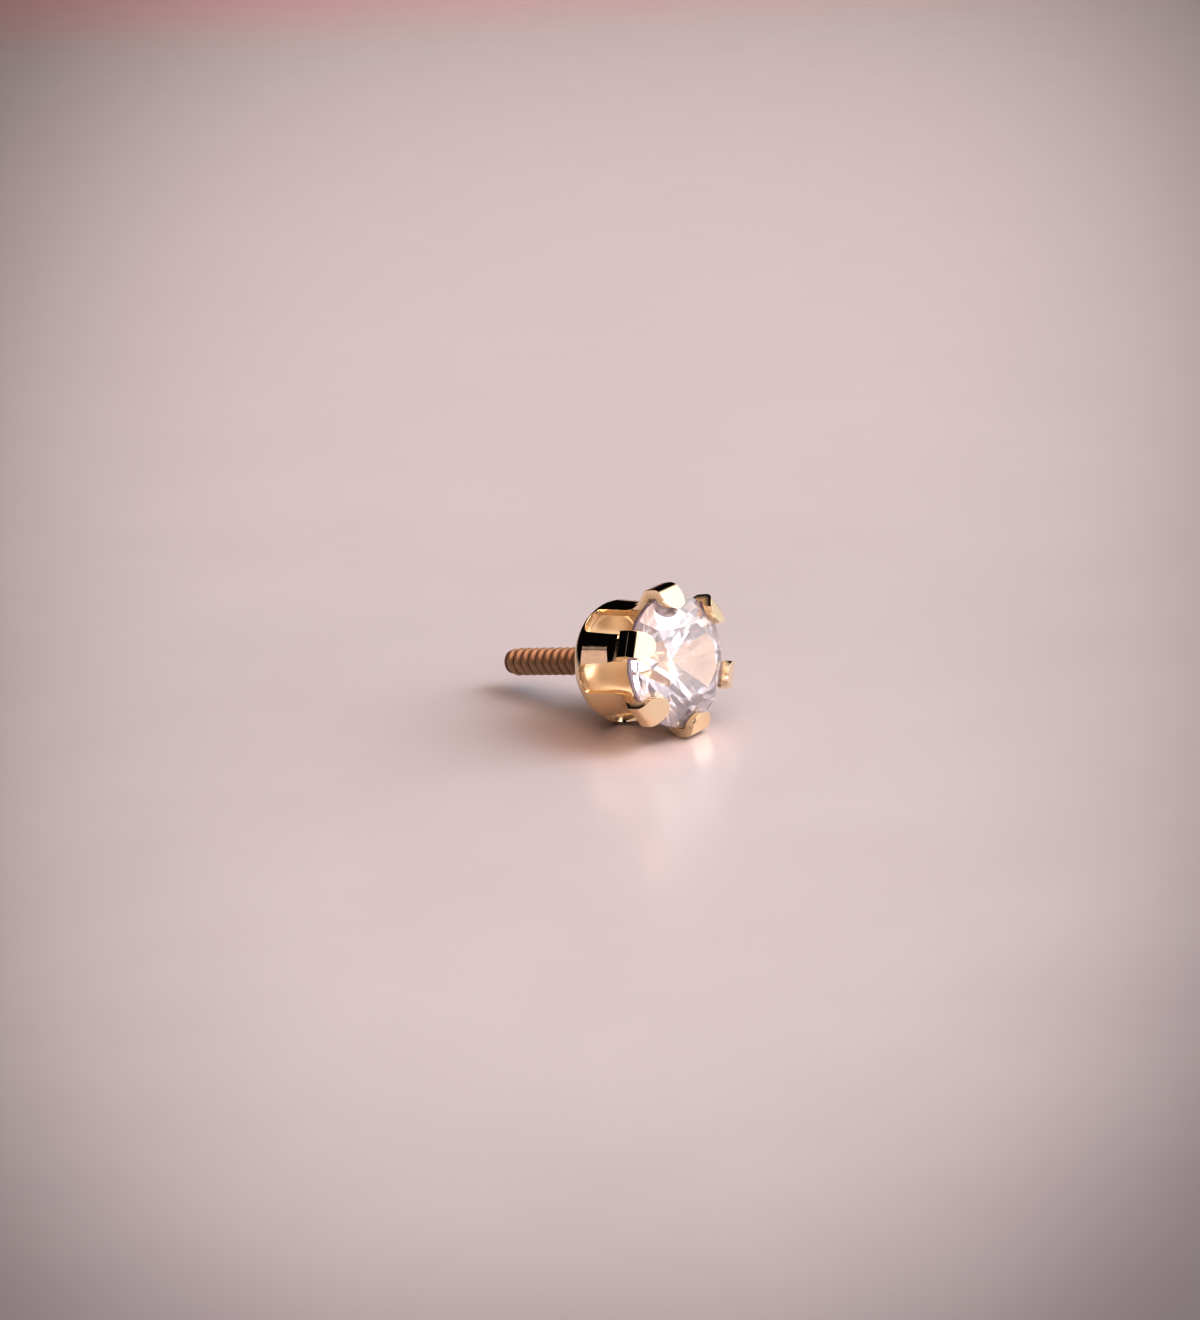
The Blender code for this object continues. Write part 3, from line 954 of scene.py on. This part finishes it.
def lacquer_colour(tree, place, far_share):
    """Colour of the table: cloudy near, paler far off as painted light, then the rose edge."""
    cloud = add_node(
        tree,
        "ShaderNodeTexNoise",
        {"Scale": every_mm(CLOUD_SIZE), "Detail": 3.0},
        {"Vector": place},
    )
    near = add_node(
        tree,
        "ShaderNodeMix",
        {"data_type": "RGBA", 6: hex_colour(LACQUER_DARK), 7: hex_colour(LACQUER_LIGHT)},
        {0: cloud.outputs["Fac"]},
    )
    # painted light: the table is drawn paler with distance
    distance = add_node(tree, "ShaderNodeMapRange", {"From Max": PALER_UNTIL}, {"Value": far_share})
    far = add_node(
        tree,
        "ShaderNodeMix",
        {"data_type": "RGBA", 7: hex_colour(FAR_LIT_COLOUR)},
        {0: distance.outputs["Result"], 6: near.outputs[2]},
    )
    at_edge = add_node(
        tree,
        "ShaderNodeMapRange",
        {
            "interpolation_type": "SMOOTHSTEP",
            "From Min": EDGE_FROM,
            "From Max": EDGE_TO,
            "To Max": EDGE_STRENGTH,
        },
        {"Value": far_share},
    )
    colour = add_node(
        tree,
        "ShaderNodeMix",
        {"data_type": "RGBA", 7: hex_colour(ROSE_EDGE)},
        {0: at_edge.outputs["Result"], 6: far.outputs[2]},
    )
    return colour.outputs[2]


print("lacquer, linear:", [round(part, 2) for part in hex_colour(LACQUER_LIGHT)[:3]])

# %% [markdown]
# A cut stone and polished gold throw part of their light down on the table, where it warms the
# shade under the stud.  Such light takes very many paths to compute, so a soft warm patch is
# drawn there instead, a few millimetres wide.

# %% Thrown light
THROWN_COLOUR = "#FFE0D0"
THROWN_MIDDLE = (2.6, -0.8)
THROWN_REACH = 5.0
THROWN_SHARE = 0.42


def thrown_light(tree, place, colour):
    """Mix the warm patch under the stud into a colour."""
    from_middle = add_node(
        tree,
        "ShaderNodeVectorMath",
        {"operation": "DISTANCE", 1: Vector((*THROWN_MIDDLE, 0.0)) * MM},
        {0: place},
    )
    thrown = add_node(
        tree,
        "ShaderNodeMapRange",
        {
            "interpolation_type": "SMOOTHSTEP",
            "From Max": THROWN_REACH * MM,
            "To Min": THROWN_SHARE,
            "To Max": 0.0,
        },
        {"Value": from_middle.outputs["Value"]},
    )
    warmed = add_node(
        tree,
        "ShaderNodeMix",
        {"data_type": "RGBA", 7: hex_colour(THROWN_COLOUR)},
        {0: thrown.outputs["Result"], 6: colour},
    )
    return warmed.outputs[2]


print("the stud throws light up to", THROWN_REACH, "mm away")

# %% [markdown]
# The table top takes all of it together.  Its gloss changes a little from place to place, as a
# wiped surface does.  Lacquer has an index of about 1.5.  A lower one keeps the streak below the
# stone as faint as it is in the photograph.

# %% Table top
TABLE_REACH = 0.6
LACQUER_INDEX = 1.30
LACQUER_ROUGHNESS = (0.17, 0.27)
WIPE_SIZE = 2.5


def lacquer():
    """Pale pink lacquer, lit by the pool."""
    material, tree, shader = new_finish("pale_pink_lacquer")
    place = add_node(tree, "ShaderNodeTexCoord").outputs["Object"]
    pool, far_share = pool_of_light(tree, place)
    colour = thrown_light(tree, place, lacquer_colour(tree, place, far_share))
    lit = add_node(
        tree, "ShaderNodeVectorMath", {"operation": "SCALE"}, {0: colour, "Scale": pool}
    )
    wiped = add_node(
        tree, "ShaderNodeTexNoise", {"Scale": every_mm(WIPE_SIZE), "Detail": 4.0}, {"Vector": place}
    )
    glossiest, dullest = LACQUER_ROUGHNESS
    rough = add_node(
        tree,
        "ShaderNodeMapRange",
        {"To Min": glossiest, "To Max": dullest},
        {"Value": wiped.outputs["Fac"]},
    )
    tree.links.new(lit.outputs["Vector"], shader.inputs["Base Color"])
    tree.links.new(rough.outputs["Result"], shader.inputs["Roughness"])
    shader.inputs["IOR"].default_value = LACQUER_INDEX
    return material


def add_sheet(name, corners, material):
    """A flat sheet that only sets the stage."""
    mesh = bpy.data.meshes.new(name)
    mesh.from_pydata(corners, [], [(0, 1, 2, 3)])
    mesh.materials.append(material)
    sheet = bpy.data.objects.new(name, mesh)
    bpy.context.scene.collection.objects.link(sheet)
    return sheet


table_corners = [
    (-TABLE_REACH, -TABLE_REACH, 0.0),
    (TABLE_REACH, -TABLE_REACH, 0.0),
    (TABLE_REACH, TABLE_REACH, 0.0),
    (-TABLE_REACH, TABLE_REACH, 0.0),
]
add_sheet("table_top", table_corners, lacquer())
print("the table top reaches", TABLE_REACH, "m each way")

# %% [markdown]
# ## The room
# Polished gold and a clear stone show the room more than themselves, so the room comes first.
# It is bright on the right, where the stone's top faces, with a brighter pane in its middle, and
# nearly black elsewhere.  The gold's cream faces see the bright side and its black faces see
# the dark one.  Many cards could do this, but a world whose strength depends on direction is
# the plainest such room.

# %% Room
BRIGHT_SIDE = (0.8, 0.6, 0.0)
WALL_FADE = (0.20, 0.55)
ROOM_BRIGHT = 1.60
ROOM_DARK = 0.006
PANE_SIDE = (0.75, 0.64, 0.15)
PANE_FADE = (0.86, 0.97)
PANE_BRIGHT = 2.8
ROOM_COLOUR = "#FFFCFB"

world = bpy.data.worlds.new("room")
world.use_nodes = True
room = world.node_tree
background = room.nodes["Background"]
direction = add_node(room, "ShaderNodeTexCoord").outputs["Generated"]
toward_side = add_node(
    room, "ShaderNodeVectorMath", {"operation": "DOT_PRODUCT", 1: BRIGHT_SIDE}, {0: direction}
)
wall = add_node(
    room,
    "ShaderNodeMapRange",
    {
        "interpolation_type": "SMOOTHSTEP",
        "From Min": WALL_FADE[0],
        "From Max": WALL_FADE[1],
        "To Min": ROOM_DARK,
        "To Max": ROOM_BRIGHT,
    },
    {"Value": toward_side.outputs["Value"]},
)
toward_pane = add_node(
    room, "ShaderNodeVectorMath", {"operation": "DOT_PRODUCT", 1: PANE_SIDE}, {0: direction}
)
pane = add_node(
    room,
    "ShaderNodeMapRange",
    {
        "interpolation_type": "SMOOTHSTEP",
        "From Min": PANE_FADE[0],
        "From Max": PANE_FADE[1],
        "To Max": PANE_BRIGHT,
    },
    {"Value": toward_pane.outputs["Value"]},
)
brightness = add_node(
    room,
    "ShaderNodeMath",
    {"operation": "ADD"},
    {0: wall.outputs["Result"], 1: pane.outputs["Result"]},
)
background.inputs["Color"].default_value = hex_colour(ROOM_COLOUR)
room.links.new(brightness.outputs["Value"], background.inputs["Strength"])
bpy.context.scene.world = world
print("the room's bright side is", round(ROOM_BRIGHT / ROOM_DARK), "times its dark side")

# %% [markdown]
# Three soft lamps light the table.  The window, high on the right, is cool daylight and throws
# the shadow to the left of the stud.  The ceiling lamp is warm and wide, and gives that shadow
# its brown.  A weak fill on the lens's side lifts the stone.  The real gold shows only a dark
# room there, so the fill is hidden from reflections.

# %% Lamps


def soft_lamp(name, azimuth, elevation, distance, width, height, power, colour):
    """A rectangular lamp that faces the stud; angles in degrees, sizes in millimetres."""
    data = bpy.data.lights.new(name, "AREA")
    data.shape = "RECTANGLE"
    data.size = width * MM
    data.size_y = height * MM
    data.energy = power
    data.color = hex_colour(colour)[:3]
    lamp = bpy.data.objects.new(name, data)
    rise = math.radians(elevation)
    way = around(math.cos(rise), azimuth, math.sin(rise))
    lamp.location = tip_centre + way * distance * MM
    lamp.rotation_euler = way.to_track_quat("Z", "Y").to_euler()
    bpy.context.scene.collection.objects.link(lamp)
    print(name, "stands", distance, "mm away,", elevation, "degrees up")
    return lamp


soft_lamp("window", 36.0, 45.0, 700.0, 380.0, 340.0, 2.35, "#EDF3FF")
soft_lamp("ceiling", 0.0, 88.0, 500.0, 700.0, 700.0, 2.95, "#FFD5BD")
fill = soft_lamp("fill", -49.0, 48.0, 600.0, 300.0, 300.0, 0.2, "#FFE6D2")
fill.visible_glossy = False

# %% [markdown]
# Low on the left, in front, a card stands just outside the picture.  The prong that faces the
# lens mirrors it as a tan patch on its black side.  Painted shade darkens the card toward its top
# edge, so the patch ends softly.  It is hidden from the lens itself, so it blocks no other view.

# %% Card
CARD_AZIMUTH = 231.0
CARD_DISTANCE = 120.0
CARD_WIDTH = 51.0
CARD_HEIGHT = 62.0
CARD_COLOUR = "#B8AAAB"
CARD_SHADED_COLOUR = "#241E1C"
CARD_ROUGHNESS = 0.7
STREAK_SIZE = 11.0
# shares of the card's height, with a streak's own height added
SHADE_FROM = 1.05
SHADE_TO = 1.45


def shaded_card():
    """Pale card with painted shade that darkens toward its top edge."""
    material, tree, shader = new_finish("pale_card")
    shader.inputs["Roughness"].default_value = CARD_ROUGHNESS
    place = add_node(tree, "ShaderNodeTexCoord").outputs["Object"]
    streaks = add_node(
        tree,
        "ShaderNodeTexNoise",
        {"Scale": every_mm(STREAK_SIZE), "Detail": 1.0},
        {"Vector": place},
    )
    # painted shade: the card darkens toward its top edge in streaks
    height = add_node(tree, "ShaderNodeSeparateXYZ", None, {"Vector": place})
    top_shade = add_node(
        tree,
        "ShaderNodeMath",
        {"operation": "MULTIPLY_ADD", 1: CARD_HEIGHT * MM},
        {0: streaks.outputs["Fac"], 2: height.outputs["Z"]},
    )
    shaded = add_node(
        tree,
        "ShaderNodeMapRange",
        {"From Min": SHADE_FROM * CARD_HEIGHT * MM, "From Max": SHADE_TO * CARD_HEIGHT * MM},
        {"Value": top_shade.outputs["Value"]},
    )
    colour = add_node(
        tree,
        "ShaderNodeMix",
        {"data_type": "RGBA", 6: hex_colour(CARD_COLOUR), 7: hex_colour(CARD_SHADED_COLOUR)},
        {0: shaded.outputs["Result"]},
    )
    tree.links.new(colour.outputs[2], shader.inputs["Base Color"])
    return material


card_way = around(1.0, CARD_AZIMUTH, 0.0)
card_side = Vector((-card_way.y, card_way.x, 0.0)) * CARD_WIDTH / 2
card_foot = card_way * CARD_DISTANCE
card_top = card_foot + Vector((0.0, 0.0, CARD_HEIGHT))
card_points = (
    card_foot - card_side,
    card_foot + card_side,
    card_top + card_side,
    card_top - card_side,
)
card = add_sheet("pale_card", [point * MM for point in card_points], shaded_card())
card.visible_camera = False
print("the card is", CARD_WIDTH, "by", CARD_HEIGHT, "mm")

# %% [markdown]
# The picture is a contrasty print.  A gamma below one darkens the shadows and keeps the whites.
# A brilliant stone sends light round many times, so the paths may be long.

# %% Print
PRINT_GAMMA = 0.70
LONGEST_PATH = 24
GLOSSY_BOUNCES = 16
STONE_BOUNCES = 20

scene = bpy.context.scene
scene.view_settings.view_transform = "Standard"
scene.view_settings.gamma = PRINT_GAMMA
scene.view_settings.exposure = 0.0
scene.cycles.max_bounces = LONGEST_PATH
scene.cycles.glossy_bounces = GLOSSY_BOUNCES
scene.cycles.transmission_bounces = STONE_BOUNCES
print("gamma", PRINT_GAMMA, "and up to", LONGEST_PATH, "bounces")
